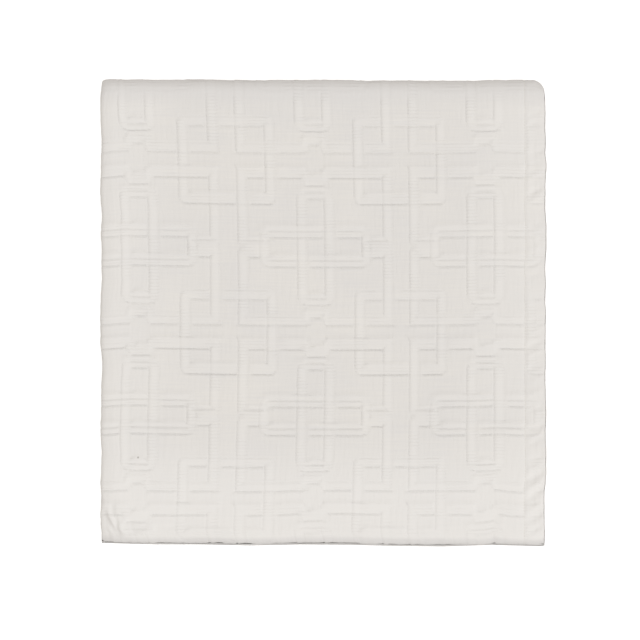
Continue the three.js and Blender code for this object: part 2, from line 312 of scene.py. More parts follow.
# A large ring's sides bend inwards in their middle. The level sides make a shallow notch.
# The upright ones reach in as far as the level ring, as two straps side by side.
NOTCH = {"depth": 8.6, "top": 9.3, "foot": 12.4}
NECK = {"depth": LARGE_RING[0] - LEVEL_RING[0], "top": STRAP / 2 - 0.3, "foot": STRAP / 2 + 0.3}
NECK_BORDER = (LARGE_RING[0] + 6, STRAP + 1)
SIDE_END = 200
STRAP_REACH = STRAP / 2 + 1.4
# A strap's edge turns into plain cloth over this width, shifted by this share
EDGE_WIDTH, EDGE_SHIFT = 1.2, 0.3
RELIEF = {"upright": 1.05, "level": 1.3}
# A strap that passes under another one still shows through it by this share
BENEATH = 0.4

# %% Sections of the straps
# Each is a list of offsets from the strap's middle and heights over the plain cloth. An
# upright strap is drawn from left to right, a level one from its lower side upwards. In
# the level straps the weft floats in two ridges with a thin furrow between them. All the
# heights are multiplied by RELIEF.
UPRIGHT_SECTION = np.array([
    (-8.3, 0), (-7.1, -0.08), (-6.2, -0.6), (-5.0, 0.5), (-3.8, 0.88), (-1.6, 0.66),
    (2.2, 0.02), (3.7, -0.2), (5.1, 0.1), (7.4, 0),
])
UPPER_SECTION = np.array([
    (-13, 0), (-10.2, 0.16), (-7.7, 0.5), (-6.9, 0.4), (-6.2, -0.5), (-5.3, -0.2), (-1.5, 0.05),
    (0.8, 0.24), (2.4, 0.5), (3.6, 0.14), (5.4, 0.12), (8.2, 0),
])
LOWER_SECTION = np.array([
    (-10.6, 0), (-9.2, 0.2), (-7.8, 0.5), (-7.0, 0.4), (-6.0, -0.8), (-5.1, -0.3), (-2.8, 0.1),
    (2.0, 0.3), (4.5, 0.48), (6.9, 0.84), (8.2, 0.5), (11.4, 0),
])
CROSSING_SECTION = np.array([
    (-9.4, 0), (-7.8, 0.48), (-7.0, 0.4), (-6.2, -0.7), (-5.2, -0.15), (-1.6, 0.05), (-0.1, 0.44),
    (1.1, -0.38), (3.4, 0.06), (7.4, 0.84), (9.4, 0.6), (13, 0),
])
NECK_SECTION = np.array([
    (-6.2, 0.6), (-0.1, 0.44), (1.1, -0.5), (3.4, 0.06), (7.4, 0.84), (9.4, 0.6), (13, 0),
])


def ring(a, b, half_a, half_b, corner):
    """Signed distance to a ring's line and the direction in which it grows."""
    x = np.abs(a) - half_a + corner
    y = np.abs(b) - half_b + corner
    outside = np.hypot(np.maximum(x, 0), np.maximum(y, 0))
    in_corner = (x > 0) & (y > 0)
    length = np.where(in_corner, outside, 1)
    way_a = np.where(in_corner, x / length, x > y)
    way_b = np.where(in_corner, y / length, x <= y)
    distance = outside + np.minimum(np.maximum(x, y), 0) - corner
    return distance, way_a * np.sign(a), way_b * np.sign(b)


def notched_side(over, beside, notch):
    """Signed distance to one notched side, and the direction in which it grows."""
    depth, foot, top = notch["depth"], notch["foot"], notch["top"]
    corners = ((SIDE_END, 0), (foot, 0), (top, -depth), (-1, -depth))
    p = np.abs(beside)
    distance = np.full(p.shape, np.inf)
    way_over, way_beside = np.zeros(p.shape), np.zeros(p.shape)
    for (p0, q0), (p1, q1) in zip(corners, corners[1:]):
        length = math.hypot(p1 - p0, q1 - q0)
        share = np.clip(((p - p0) * (p1 - p0) + (over - q0) * (q1 - q0)) / length**2, 0, 1)
        away = np.hypot(p - p0 - share * (p1 - p0), over - q0 - share * (q1 - q0))
        nearer = away < distance
        distance = np.where(nearer, away, distance)
        way_over = np.where(nearer, (p0 - p1) / length, way_over)
        way_beside = np.where(nearer, (q1 - q0) / length, way_beside)
    inward = np.clip((foot - p) * (depth / (foot - top)), 0, depth)
    return np.where(over < -inward, -distance, distance), way_over, way_beside


def notched_ring(a, b, half_a, half_b):
    """A ring without rounding whose four sides each bend inwards at their middle."""
    to_a, face_a, lean_a = notched_side(np.abs(a) - half_a, b, NECK)
    to_b, face_b, lean_b = notched_side(np.abs(b) - half_b, a, NOTCH)
    on_a = to_a > to_b
    way_a = np.where(on_a, face_a, lean_b) * np.sign(a)
    way_b = np.where(on_a, lean_a, face_b) * np.sign(b)
    return np.maximum(to_a, to_b), way_a, way_b


def raised(place, top_section, bottom_section):
    """A ring's distance and direction, with the height that its sections give."""
    distance, way_a, way_b = place
    upright = read(UPRIGHT_SECTION, distance * np.sign(way_a))
    level = np.where(way_b > 0, read(top_section, distance), read(bottom_section, -distance))
    height = RELIEF["upright"] * upright * way_a**2 + RELIEF["level"] * level * way_b**2
    return *place, height


def interlace(first, second, first_over):
    """Of two straps, the one on top where both lie, and otherwise the one that is there."""
    both = (np.abs(first[0]) < STRAP_REACH) & (np.abs(second[0]) < STRAP_REACH)
    closer = np.abs(first[0]) < np.abs(second[0])
    use_first = np.where(both, first_over, closer)
    distance, way_a, way_b, height = (np.where(use_first, f, s) for f, s in zip(first, second))
    beneath = np.where(use_first, second[3], first[3])
    return distance, way_a, way_b, height + np.where(both, BENEATH * beneath, 0)


def to_nearest(s, period):
    return s - period * np.round(s / period)


def lattice(right, down):
    """Height of the lattice, share of strap and how upright it runs, from the first square."""
    square_a = to_nearest(right, 2 * HALF_ACROSS)
    square_b = -to_nearest(down, 2 * HALF_ALONG)
    crossing_a = to_nearest(right - HALF_ACROSS, 2 * HALF_ACROSS)
    crossing_b = -to_nearest(down - HALF_ALONG, 2 * HALF_ALONG)
    small = raised(ring(square_a, square_b, *SMALL_RING), UPPER_SECTION, LOWER_SECTION)
    place = notched_ring(crossing_a - LARGE_RING_SHIFT, crossing_b, *LARGE_RING)
    in_neck = (np.abs(crossing_a) < NECK_BORDER[0]) & (np.abs(crossing_b) < NECK_BORDER[1])
    neck_height, side_height = (
        raised(place, LOWER_SECTION, section)[3] for section in (NECK_SECTION, UPPER_SECTION)
    )
    large = (*place, np.where(in_neck, neck_height, side_height))
    upright, level = (
        raised(ring(crossing_a, crossing_b, *shape), CROSSING_SECTION, CROSSING_SECTION)
        for shape in (UPRIGHT_RING, LEVEL_RING)
    )
    on_upright_side = np.abs(small[1]) > 0.5
    small_over = np.where(on_upright_side, square_a * square_b < 0, square_a * square_b > 0)
    squares = interlace(small, large, small_over)
    crossings = interlace(upright, level, crossing_a * crossing_b > 0)
    nearest = interlace(squares, crossings, np.abs(squares[0]) < np.abs(crossings[0]))
    strap_share = smooth((STRAP / 2 - np.abs(nearest[0])) / EDGE_WIDTH + EDGE_SHIFT)
    return nearest[3], strap_share, nearest[1] ** 2


# %% [markdown]
# ## Hem and creases
# The right-hand edge is turned under by 24 mm and sewn down, which leaves a soft furrow.
# The stitching is a little tight, so the hem puckers in short creases that slant up to the
# right. The lower left corner was crushed a little. Each crease is a soft trough or ridge
# along a short line.

# %% The side hem and its puckers, and the crushed corner
HEM = {"width": 23.5, "furrow_width": 3.4, "furrow_depth": 0.55, "relief": 0.55}
# In the furrow the straps are flatter by this share
FURROW_EASE = 0.8

# No trough reaches through the cloth
DEEPEST = -1.7
# x and y of the start, length, direction in degrees, width, height
CREASES = [
    (229, 250, 16, 20, 2.4, -0.7), (230, 231, 19, 8, 2.6, 0.6), (228, 207, 15, 25, 2.5, -0.9),
    (229, 176, 20, 12, 2.8, -0.7), (228, 150, 21, 20, 3, 1), (228, 131, 22, 24, 2.6, -1.8),
    (230, 122, 20, 30, 2.6, 0.9), (229, 96, 17, 15, 2.8, -0.6), (228, 70, 20, 10, 2.6, 0.6),
    (228, 38, 19, 18, 2.8, -0.9), (229, 10, 19, 8, 2.8, 0.7), (227, -12, 21, 16, 2.6, -1.1),
    (228, -40, 22, 22, 2.6, -1.6), (228, -50, 21, 24, 2.5, 1.1), (227, -66, 22, 20, 2.8, -1.5),
    (229, -92, 20, 10, 3, 0.9), (228, -112, 20, 20, 2.4, -1.1), (228, -133, 22, 18, 2.6, -1.6),
    (230, -142, 19, 22, 2.9, 1.2), (229, -165, 18, 12, 2.9, -1.3), (226, -188, 24, 24, 2.9, -3.1),
    (228, -198, 22, 30, 2.6, 1.8), (226, -209, 24, 26, 2.9, -3.2), (229, -221, 21, 24, 2.6, 1.6),
    (227, -232, 23, 20, 2.9, -2.6), (230, -243, 19, 16, 2.6, -1.7),
    (-247, -222, 17, -62, 3, -3.2), (-243, -224, 22, -50, 3, 2.9), (-249, -232, 22, -36, 3, -4.2),
    (-242, -236, 20, -66, 2.8, 3.1), (-246, -245, 26, -8, 3, -4), (-231, -228, 16, -74, 3, -2.9),
    (-222, -240, 20, 22, 3.2, -2.5), (-238, -251, 34, 4, 2.8, 2.6), (-228, -238, 14, -40, 2.8, 2.6),
    (-236, -215, 14, -80, 3, -2), (-214, -232, 18, -66, 3, -2), (-206, -246, 24, 12, 2.8, 2),
    (-242, 20, 26, 84, 3.4, -0.3), (-243, -96, 30, 94, 3.6, 0.3), (-243, 120, 34, 88, 3.6, -0.3),
    (-40, -246, 40, 4, 3.4, -0.3), (96, -243, 36, -5, 3.6, -0.3), (160, -248, 28, 3, 3, 0.3),
    (229, 218, 18, 26, 2.2, -0.6), (230, 88, 18, 18, 2.2, 0.6), (229, 50, 18, 22, 2.2, -0.6),
    (230, -25, 18, 24, 2.2, 0.8), (228, -80, 21, 18, 2.2, 0.9), (228, -150, 20, 26, 2.4, -1.3),
    (229, -176, 19, 20, 2.4, 1.3),
    (-205, -241, 70, 2, 2.8, -0.8), (-120, -246, 90, -1, 2.4, 0.3), (-90, -251, 80, 1, 2.2, -0.3),
    (-20, -242, 70, -2, 2.4, -0.3), (20, -250, 90, 1, 2.4, 0.4), (70, -254, 90, 0, 2.2, -0.3),
    (110, -240, 80, 2, 2.4, 0.3), (150, -251, 70, -2, 2.4, -0.3),
]


def creases(x, y):
    total = np.zeros_like(x)
    for start_x, start_y, length, direction, width, height in CREASES:
        turned = math.radians(direction)
        ahead = (x - start_x) * math.cos(turned) + (y - start_y) * math.sin(turned)
        aside = (y - start_y) * math.cos(turned) - (x - start_x) * math.sin(turned)
        taper = np.clip(1 - ((ahead - length / 2) / (length / 2 + width)) ** 2, 0, 1) ** 1.5
        total += height * taper * np.exp(-((aside / width) ** 2))
    return np.where(total < 0, DEEPEST * np.tanh(total / DEEPEST), total)


# %% [markdown]
# ## From flat cloth to folded cloth
# The lattice is drawn on the flat cloth, where it draws in a little towards the right and
# towards the lower edge. Its height fades out where the plain, coarser mesh begins.

# %% Flat places of the top ply
top_ply = across[-1]
top_layer = along[2]


def flat_spot(x, y):
    """Where a place of the top lies in the flat cloth."""
    return top_ply[0] + x - top_ply[2], top_layer[0] + top_layer[2] - y


def top_place(u, v):
    """Where a flat place of the top ply lies once it is folded evenly."""
    return top_ply[2] + u - top_ply[0], top_layer[2] - (v - top_layer[0])


# The first square's place in the flat cloth, how the lattice closes up, and half a period
first_u, first_v = flat_spot(**FIRST_SQUARE)
RIGHTWARDS = (first_u, CLOSING_ACROSS, HALF_ACROSS)
DOWNWARDS = (first_v, CLOSING_ALONG, HALF_ALONG)
# The finely drawn field reaches round these shares of the left fold and of the roll.
# Its relief fades out before its borders.
LEFT_SHARE = 0.62
ROLL_SHARE = 0.8
FIELD_U = (top_ply[0] - LEFT_SHARE * math.pi * PLY_PITCH, FLAT_WIDTH - CLOTH / 2 - 0.6)
FIELD_V = (top_layer[0] - ROLL_SHARE * math.pi * ROLL_RADIUS, along[4, 0] - 2)
FADE = 4
# Over the roll the cloth is stretched and its lattice flatter
ROLL_STRETCH = {"reach": 14, "share": 0.55}
# The weave is pulled flatter in some places: y, and what is left of the straps' height
UPRIGHT_EASE = [(-262, 0.5), (-215, 0.58), (-170, 0.73), (110, 0.75), (180, 0.8)]
LEVEL_EASE = [(-262, 1.15), (-190, 1.1), (-130, 1), (30, 0.9), (120, 0.75), (200, 0.78)]
hem_line = FLAT_WIDTH - HEM["width"]


def to_cloth(measures, s):
    first, closing, half = measures
    return first + s - closing * (s / half) ** 2


def to_lattice(measures, flat):
    first, closing, half = measures
    root = np.sqrt(half**2 - 4 * closing * (flat - first))
    return half * (half - root) / (2 * closing)


def face_height(u, v):
    """Height of the cloth's face over its plain surface, and the share of strap there."""
    down = to_lattice(DOWNWARDS, np.minimum(v, FLAT_LENGTH))
    height, strap_share, upright = lattice(to_lattice(RIGHTWARDS, u), down)
    x, y = top_place(u, v)
    to_edge = FLAT_WIDTH - u
    height = height * np.where(to_edge < HEM["width"], HEM["relief"], 1)
    to_roll = smooth((top_layer[0] - v) / ROLL_STRETCH["reach"] + 1)
    height = height * (1 - ROLL_STRETCH["share"] * to_roll)
    level_ease = read(LEVEL_EASE, y)
    height = height * (level_ease + upright * (read(UPRIGHT_EASE, y) - level_ease))
    furrow = np.exp(-(((to_edge - HEM["width"]) / (HEM["furrow_width"] / 2)) ** 2))
    height = height * (1 - FURROW_EASE * furrow) - HEM["furrow_depth"] * furrow + creases(x, y)
    borders = np.minimum.reduce([u - FIELD_U[0], FIELD_U[1] - u, v - FIELD_V[0], FIELD_V[1] - v])
    return height * smooth(borders / FADE), strap_share


# The weave lies askew. Its middle bows to the right, less so at the right-hand side, and
# its sides are drawn up. Place across, shift at the ends, and bow of the middle.
ASKEW = [(-182, -5.4, 4.4), (-81, -4.2, 4.9), (20, -3.6, 3.8), (141, -4.1, 1.3), (200, -2.8, 0.6)]
BOW = {"y": -3, "half": 230, "least": -0.4}
DRAWN_UP = {"x": 20, "half": 264, "middle": 0.9, "sides": 3.4, "ends": (235, -60)}
# Towards its lower right it is drawn up further
LOWER_RIGHT = {"up": 1.8, "x": (-110, 150), "y": (-140, -60)}
# It sets in over these distances from the left fold, the hem and the other borders
FADE_FOLD, FADE_HEM, FADE_BORDER = 34, 30, 16
FADE_START = 4


def askew(u, v):
    """How far a point of the drawn field lies to the right and down from its even place."""
    x, y = top_place(u, v)
    across_at, at_ends, bow = np.transpose(ASKEW)
    middle_share = np.clip(1 - ((y - BOW["y"]) / BOW["half"]) ** 2, BOW["least"], 1)
    right = np.interp(x, across_at, at_ends) + np.interp(x, across_at, bow) * middle_share
    to_sides = ((x - DRAWN_UP["x"]) / DRAWN_UP["half"]) ** 2
    down = DRAWN_UP["middle"] - DRAWN_UP["sides"] * to_sides
    down = down * ramp(DRAWN_UP["ends"], np.abs(y))
    down -= LOWER_RIGHT["up"] * ramp(LOWER_RIGHT["y"], y) * ramp(LOWER_RIGHT["x"], x)
    fade = smooth((u - FIELD_U[0] - FADE_START) / FADE_FOLD)
    fade = fade * smooth((hem_line - FADE_START - u) / FADE_HEM)
    fade = fade * smooth(np.minimum(v - FIELD_V[0], FIELD_V[1] - v) / FADE_BORDER)
    return right * fade, down * fade


def cloth_point(u, v, offset):
    x, in_strip = on_path(across, u, offset)
    y, z = on_path(along, v, -in_strip)
    return np.column_stack(settle(x, y, z))


# %% [markdown]
# ## Where the mesh needs lines
# A strap's edge is only 2 mm wide, so lines of the mesh run along it, and between straps
# they may be further apart. Hidden plies get few lines. The throw stays under 200,000
# triangles and still has each furrow in its mesh.

# %% Lines of the finely drawn field and of the plain cloth
LARGEST_STEP = {"across": 5, "along": 3}
LEAST_STEP = 0.8
# On the plain cloth: the largest step on each straight run, and on every turn
PLAIN_ACROSS = ([60, 0, 60, 0, 60], 0.9)
PLAIN_ALONG = ([24, 0, 4, 0, 24, 0, 24], 2.2)


def section_places(straps):
    """Places of all the points of the straps' sections, those with the sharpest bend first."""
    bends, at = [], []
    for middle, section in straps:
        slopes = np.diff(section[:, 1]) / np.diff(section[:, 0])
        bends.extend(np.abs(np.diff(slopes, prepend=0, append=0)))
        at.extend(middle + section[:, 0])
    return np.array(at)[np.argsort(-np.array(bends))]


def field_lines(first, last, measures, places_in_period, extra, largest_step):
    """Lines at the places in every period, with extra ones, and with wide gaps filled."""
    period = 2 * measures[2]
    wanted = [to_cloth(measures, k * period + p) for p in places_in_period for k in range(-2, 4)]
    lines = [first, last]
    for line in [*extra, *wanted]:
        if first < line < last and min(abs(line - other) for other in lines) > LEAST_STEP:
            lines.append(line)
    lines.sort()
    filled = [
        np.linspace(a, b, math.ceil((b - a) / largest_step), endpoint=False)
        for a, b in zip(lines, lines[1:])
    ]
    return np.append(np.concatenate(filled), last)


def path_lines(pieces, inset, largest_run, largest_turn):
    """Lines over each piece of a path, from one inset end to the other."""
    ends = [inset, *pieces[1:, 0], pieces[-1, 0] + pieces[-1, 1] - inset]
    lines = [np.array([inset])]
    for k, piece in enumerate(pieces):
        largest = largest_turn if piece[5] else largest_run[k]
        count = math.ceil((ends[k + 1] - ends[k]) / largest)
        lines.append(np.linspace(ends[k], ends[k + 1], count + 1)[1:])
    return np.concatenate(lines)


def with_lines(lines, added):
    """Lines with some added, each in place of the ones that are very near it."""
    kept = [s for s in lines if min(abs(s - line) for line in added) > 0.5]
    return np.array(sorted([*kept, *added]))


# Middles of the upright straps, from a square's centre to the right
side = LARGE_RING[0]
upright_middles = [-SMALL_RING[0], SMALL_RING[0]] + [
    HALF_ACROSS + m for m in (
        -side + LARGE_RING_SHIFT, side + LARGE_RING_SHIFT,
        -UPRIGHT_RING[0], UPRIGHT_RING[0], -LEVEL_RING[0], LEVEL_RING[0],
    )
]
# Middles and sections of the level straps, from a square's centre upwards
side = HALF_ALONG - LARGE_RING[1]
level_straps = [
    (SMALL_RING[1], UPPER_SECTION), (side, UPPER_SECTION), (side + NOTCH["depth"], UPPER_SECTION),
    (-SMALL_RING[1], LOWER_SECTION), (-side, LOWER_SECTION),
    (-side - NOTCH["depth"], LOWER_SECTION),
    (HALF_ALONG + STRAP / 2, NECK_SECTION), (HALF_ALONG - STRAP / 2, LOWER_SECTION),
] + [
    (HALF_ALONG + m, CROSSING_SECTION)
    for m in (-UPRIGHT_RING[1], UPRIGHT_RING[1], -LEVEL_RING[1], LEVEL_RING[1])
]

# %% The lines themselves
# Extra ones lie by the furrow, on the hem, on and beside the left fold, and on the roll
# and the last fold
left_turn = top_ply[0]
extra_u = [
    *(hem_line + d for d in (-2.4, -1.2, 0, 1.2, 2.4)), *np.arange(hem_line + 4, FIELD_U[1], 1.8),
    *np.linspace(FIELD_U[0], left_turn, 7)[1:], *np.arange(left_turn + 2, left_turn + 42, 2),
]
extra_v = [
    *np.arange(FIELD_V[0], top_layer[0] + 1, 1.9), *np.arange(along[3, 0] - 24, FIELD_V[1], 1.5),
]
strap_places = section_places([(middle, UPRIGHT_SECTION) for middle in upright_middles])
field_u = field_lines(*FIELD_U, RIGHTWARDS, strap_places, extra_u, LARGEST_STEP["across"])
strap_places = -section_places(level_straps)
field_v = field_lines(*FIELD_V, DOWNWARDS, strap_places, extra_v, LARGEST_STEP["along"])
FRAME_GAP = 0.6
opening_u = (FIELD_U[0] - FRAME_GAP, FIELD_U[1] + FRAME_GAP)
opening_v = (FIELD_V[0] - FRAME_GAP, FIELD_V[1] + FRAME_GAP)
plain_u = with_lines(path_lines(across, CLOTH / 2, *PLAIN_ACROSS), opening_u)
plain_v = with_lines(path_lines(along, CLOTH / 2, *PLAIN_ALONG), opening_v)
print(f"field {len(field_u)} by {len(field_v)} lines, plain cloth {len(plain_u)} by {len(plain_v)}")


# %% [markdown]
# ## One closed mesh
# The face and the back are grids of four-sided cells. The finely drawn field sits in an
# opening of the face, and a narrow band of triangles joins the two, since their lines
# don't match. Round the outside, a rounded rim closes the hem's edge between face and back.

# %% Grids, bands and the rim
points, places, cells = [], [], []


def add_object(name, data):
    made = bpy.data.objects.new(name, data)
    bpy.context.scene.collection.objects.link(made)
    return made


def add_mesh(name, *parts):
    made = bpy.data.meshes.new(name)
    made.from_pydata(*parts)
    return made


def add_points(u, v, offset, strap_share=None, shift=(0, 0)):
    """Adds points of the cloth and returns their numbers, in the shape of u."""
    first = sum(len(p) for p in points)
    u, v, offset = (np.asarray(a, float) for a in np.broadcast_arrays(u, v, offset))
    points.append(cloth_point(u.ravel() + shift[0], v.ravel() + shift[1], offset.ravel()))
    share = np.zeros(u.size) if strap_share is None else strap_share.ravel()
    places.append(np.column_stack((u.ravel(), v.ravel(), share)))
    return first + np.arange(u.size).reshape(u.shape)


def fill_grid(grid, facing, is_open=None):
    corners = np.stack((grid[:-1, :-1], grid[:-1, 1:], grid[1:, 1:], grid[1:, :-1]), axis=-1)
    if facing < 0:
        corners = corners[..., ::-1]
    kept = corners.reshape(-1, 4) if is_open is None else corners[~is_open]
    cells.extend(kept.tolist())


def join_chains(outer, inner):
    """Triangles between two chains of (number, distance), the inner one to the left."""
    i = j = 0
    while i + 1 < len(outer) or j + 1 < len(inner):
        outer_left, inner_left = i + 1 < len(outer), j + 1 < len(inner)
        if not inner_left or (outer_left and outer[i + 1][1] < inner[j + 1][1]):
            cells.append((outer[i][0], outer[i + 1][0], inner[j][0]))
            i += 1
        else:
            cells.append((outer[i][0], inner[j + 1][0], inner[j][0]))
            j += 1


def block_sides(grid, us, vs):
    """The four sides of a grid in turn to the left, each a list of (number, distance)."""
    def chain(numbers, s):
        return list(zip(numbers.tolist(), np.abs(s - s[0]).tolist()))

    return [
        chain(grid[:, -1], us), chain(grid[-1, ::-1], vs[::-1]),
        chain(grid[::-1, 0], us[::-1]), chain(grid[0, :], vs),
    ]


def close_rim(face, back, us, vs, steps=4):
    """A half-round edge from the face's border to the back's, round the whole panel."""
    last_u, last_v = face.shape[0] - 1, face.shape[1] - 1
    ring_ij = [(0, j) for j in range(last_v)] + [(i, last_v) for i in range(last_u)]
    ring_ij += [(last_u, j) for j in range(last_v, 0, -1)] + [(i, 0) for i in range(last_u, 0, -1)]
    i, j = np.array(ring_ij).T
    out_u = (i == last_u).astype(float) - (i == 0)
    out_v = (j == last_v).astype(float) - (j == 0)
    out = CLOTH / 2 / np.maximum(np.hypot(out_u, out_v), 1)
    rows = [face[i, j]]
    for k in range(1, steps):
        turned = math.pi * k / steps
        beyond = out * math.sin(turned)
        height = CLOTH / 2 * math.cos(turned)
        rows.append(add_points(us[i] + out_u * beyond, vs[j] + out_v * beyond, height))
    rows.append(back[i, j])
    grid = np.array(rows)
    fill_grid(np.hstack((grid, grid[:, :1])), 1)


# %% Build the mesh of the throw
grid_u, grid_v = np.meshgrid(plain_u, plain_v, indexing="ij")
face = add_points(grid_u, grid_v, CLOTH / 2)
back = add_points(grid_u, grid_v, -CLOTH / 2)
i0, i1 = (int(np.flatnonzero(plain_u == u)[0]) for u in opening_u)
j0, j1 = (int(np.flatnonzero(plain_v == v)[0]) for v in opening_v)
is_open = np.zeros((len(plain_u) - 1, len(plain_v) - 1), bool)
is_open[i0:i1, j0:j1] = True
fill_grid(face, 1, is_open)
fill_grid(back, -1)
close_rim(face, back, plain_u, plain_v)

fine = np.meshgrid(field_u, field_v, indexing="ij")
flat_places = [s.ravel() for s in fine]
heights, shares = face_height(*flat_places)
surface = CLOTH / 2 + heights.reshape(fine[0].shape)
field = add_points(*fine, surface, shares, askew(*flat_places))
fill_grid(field, 1)
opening = block_sides(face[i0:i1 + 1, j0:j1 + 1], plain_u[i0:i1 + 1], plain_v[j0:j1 + 1])
for outer_side, inner_side in zip(opening, block_sides(field, field_u, field_v)):
    join_chains(outer_side, inner_side)

# The solid stands with its box's middle over the origin, and the cloth takes the same place.
xyz = np.concatenate(points)
middle = (xyz.min(axis=0) + xyz.max(axis=0)) / 2
solid_middle = np.array([(lo + hi) / 2 / MM for lo, hi in zip(*throw_box)])
to_stand = np.array([*(solid_middle - middle)[:2], -xyz[:, 2].min()])
xyz += to_stand

mesh = add_mesh("woven_throw", (xyz * MM).tolist(), [], cells)
throw = add_object("woven_throw", mesh)
mesh.shade_smooth()
valid = not mesh.validate()
print(f"throw: {len(mesh.vertices)} points, {len(mesh.polygons)} faces, mesh valid {valid}")


# %% [markdown]
# ## Places for the finish
# A weave has to follow the cloth round its folds, so the finish reads where each point lay
# on the flat cloth. That goes into a UV map in which the whole length is 1. The share of
# strap goes into an attribute, since the ribs show on the straps alone.

# %% UV map and attribute
cloth_places = np.concatenate(places)
corner_points = np.empty(len(mesh.loops), dtype=np.int32)
mesh.loops.foreach_get("vertex_index", corner_points)
uv_map = mesh.uv_layers.new(name="flat_cloth")
corner_uv = (cloth_places[corner_points, :2] / FLAT_LENGTH).astype(np.float32)
uv_map.data.foreach_set("uv", corner_uv.ravel())
strap_attribute = mesh.attributes.new("strap", "FLOAT", "POINT")
strap_attribute.data.foreach_set("value", cloth_places[:, 2].astype(np.float32))
print(f"straps cover {100 * shares.mean():.0f}% of the drawn field")

# %% [markdown]
# ## Woven cotton
# Off-white cotton scatters nearly all its light and has no gloss, only a little pale fuzz
# that lightens it at a glancing angle. Its thread is too fine to show in the photograph.
# The weft shows as level ribs, 3.75 mm apart, which the straps carry and the plain cloth
# between them doesn't. The plain cloth puckers a little lengthwise instead.


# %% Helpers for colours and nodes
def linear(hex_colour):
    """Linear colour of an sRGB hex value."""
    parts = [int(hex_colour[k:k + 2], 16) / 255 for k in (1, 3, 5)]
    return (*(c / 12.92 if c <= 0.04045 else ((c + 0.055) / 1.055) ** 2.4 for c in parts), 1.0)


def add_node(tree, kind, inputs=None, **settings):
    """A node with its settings, and with a value or a link for each named input."""
    node = tree.nodes.new(kind)
    for name, value in settings.items():
        setattr(node, name, value)
    for name, value in (inputs or {}).items():
        if isinstance(value, bpy.types.NodeSocket):
            tree.links.new(value, node.inputs[name])
        else:
            node.inputs[name].default_value = value
    return node


def new_material(name):
    material = bpy.data.materials.new(name)
    material.use_nodes = True
    material.node_tree.nodes.clear()
    return material, material.node_tree


# %% Sizes and colours of the weave
RIB_PITCH = 3.75
# The real threads lie about 0.8 mm apart. They are drawn at 1.5 mm, to show at all.
THREAD_PITCH = 1.5
# Width and length of a pucker, and how often the yarn's shades change in each mm
PUCKER = (4.5, 26)
YARN = (0.02, 0.5)
PALER_STRAPS = 0.16
CLOTH_WARM = "#e2dfdb"
# The grey is one end of the yarn's own tone, and also the painted shade on the roll and the last
# fold
CLOTH_GREY = "#dbd9d8"
# The straps' paler weft, and also painted light on the sides and the front edge
CLOTH_PALE_WEFT_AND_PAINTED_LIGHT = "#e8e6e4"
FLECK = {"at": (-205.3, -164.4), "radius": 0.7, "colour": "#8f8a84"}

cotton, tree = new_material("woven_cotton")
flat_place = add_node(tree, "ShaderNodeUVMap", uv_map="flat_cloth").outputs["UV"]
mm_place = add_node(
    tree, "ShaderNodeMapping", {"Vector": flat_place, "Scale": (FLAT_LENGTH, FLAT_LENGTH, 1)}
).outputs[0]
strap_share = add_node(tree, "ShaderNodeAttribute", attribute_name="strap").outputs["Fac"]

# %% Noise of the cloth
# Stretched noise for the puckers of the plain cloth and the shades of its yarn, and even
# noise for the ribs' tightness, the fuzz, and patches of colour as large as a hand
pucker_place, yarn_place = (
    add_node(tree, "ShaderNodeMapping", {"Vector": mm_place, "Scale": (*scales, 1)}).outputs[0]
    for scales in ((1 / PUCKER[0], 1 / PUCKER[1]), YARN)
)
pucker_noise, yarn, tightness, fuzz, patches = (
    add_node(
        tree, "ShaderNodeTexNoise", {"Vector": place, "Scale": scale, "Detail": detail}
    ).outputs["Fac"] for place, scale, detail in (
        (pucker_place, 1, 3), (yarn_place, 1, 2),
        (mm_place, 0.045, 1), (mm_place, 0.55, 4), (mm_place, 0.012, 2),
    )
)

# %% Ribs and threads
# The wave texture's own period is 2 pi / 20 of a unit, and a unit is 1 mm here.
wide_ribs, upright_threads, level_threads = (
    add_node(
        tree, "ShaderNodeTexWave",
        {"Vector": mm_place, "Scale": 2 * math.pi / 20 / pitch, "Distortion": 1.4, "Detail": 2.0,
         "Detail Scale": 0.35},
        bands_direction=direction,
    ).outputs["Fac"]
    for pitch, direction in ((RIB_PITCH, "Y"), (THREAD_PITCH, "X"), (THREAD_PITCH, "Y"))
)

# Ribs show on straps alone, and more in some places than in others. Puckers are strongest
# on the plain cloth.
RANGE = ("Value", "From Min", "From Max", "To Min", "To Max")
rib_share, pucker_share = (
    add_node(tree, "ShaderNodeMapRange", dict(zip(RANGE, values))).outputs[0]
    for values in ((tightness, 0.45, 0.6, 0.15, 1.0), (strap_share, 0.0, 1.0, 1.0, 0.3))
)
threads, rib_share, puckers, floating = (
    add_node(tree, "ShaderNodeMath", {0: first, 1: second}, operation="MULTIPLY").outputs[0]
    for first, second in (
        (upright_threads, level_threads), (rib_share, strap_share), (pucker_noise, pucker_share),
        (strap_share, PALER_STRAPS),
    )
)
inputs = {0: wide_ribs, 1: rib_share}
ribs = add_node(tree, "ShaderNodeMath", inputs, operation="MULTIPLY").outputs[0]

# Each kind of relief with its depth in mm
bump = (0, 0, 0)
for height, depth in ((puckers, 0.6), (fuzz, 0.05), (threads, 0.02), (ribs, 0.3)):
    inputs = {"Height": height, "Distance": depth * MM, "Normal": bump}
    bump = add_node(tree, "ShaderNodeBump", inputs).outputs["Normal"]

# %% Colour of the cloth
# Undyed yarn varies a little from thread to thread and in patches.
tone = add_node(tree, "ShaderNodeMath", {0: patches, 1: yarn, 2: -0.5}, operation="ADD").outputs[0]
inputs = dict(zip(RANGE, (tone, 0.6, 1.4)))
tone = add_node(tree, "ShaderNodeMapRange", inputs).outputs[0]
